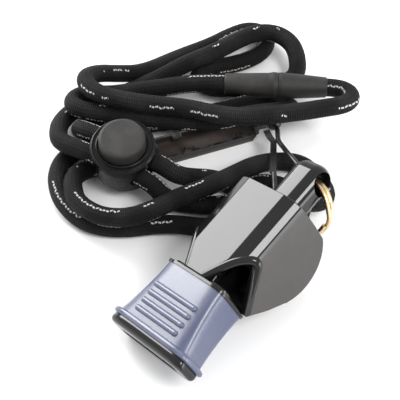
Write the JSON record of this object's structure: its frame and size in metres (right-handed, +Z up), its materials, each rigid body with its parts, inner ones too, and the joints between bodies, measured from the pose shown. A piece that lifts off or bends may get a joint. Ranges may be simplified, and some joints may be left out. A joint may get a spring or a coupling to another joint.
{
  "type": "referee whistle on its lanyard",
  "caption": "Pealess referee whistle in black plastic with a ribbed soft mouth grip, split ring, hook and coiled lanyard cord with lock and connector",
  "frame": {"origin": "on the floor, under the middle of the whistle and its split ring as they lie", "axes": "+X runs along the whistle from the mouthpiece to the lug, +Y to the left of the whistle seen from the mouthpiece over its deck, +Z up from the floor."},
  "size_m": [0.0933, 0.0815, 0.0258],
  "materials": {
    "body_plastic": "gloss",
    "soft_grip": "satin translucent",
    "ring_metal": "bright",
    "hook_metal": "satin",
    "clamp_metal": "satin",
    "lock_plastic": "satin",
    "button_plastic": "matte grained",
    "cord_weave": "woven"
  },
  "bodies": {
    "whistle_and_lanyard": {"top_shell": "body_plastic", "belly_shell": "body_plastic", "air_divider": "body_plastic", "mouth_grip": "soft_grip", "hook_swivel": "hook_metal", "cord_clamp": "clamp_metal", "lock_housing": "lock_plastic", "join_socket": "button_plastic", "join_plug": "button_plastic", "cord_a": "cord_weave", "cord_b": "cord_weave"},
    "lock_button_body": {"lock_button": "button_plastic"},
    "ring_body": {"split_ring": "ring_metal"},
    "hook_body": {"hook_wire": "hook_metal"},
    "gate_body": {"hook_gate": "hook_metal"}
  },
  "joints": [
    {"name": "lock_press", "type": "slide", "parent": "whistle_and_lanyard", "child": "lock_button_body", "axis": [-0.1001, -0.0917, 0.9907], "range_m": [-0.0012, 0], "stiffness_N_per_m": 1500},
    {"name": "ring_turn", "type": "hinge", "parent": "whistle_and_lanyard", "child": "ring_body", "pos_m": [0.02045, -0.0018, 0.01296], "axis": [-0.9055, 0.1812, 0.3837], "continuous": true},
    {"name": "hook_twist", "type": "hinge", "parent": "whistle_and_lanyard", "child": "hook_body", "pos_m": [0.04069, 0.0231, 0.003], "axis": [-0.5742, -0.6173, 0.5378], "range_deg": [-1.5, 1.5]},
    {"name": "gate_open", "type": "hinge", "parent": "hook_body", "child": "gate_body", "pos_m": [0.03457, 0.01898, 0.006], "axis": [0.3077, 0.0761, 0.9484], "range_deg": [0, 8], "stiffness_Nm_per_rad": 0.02}
  ]
}
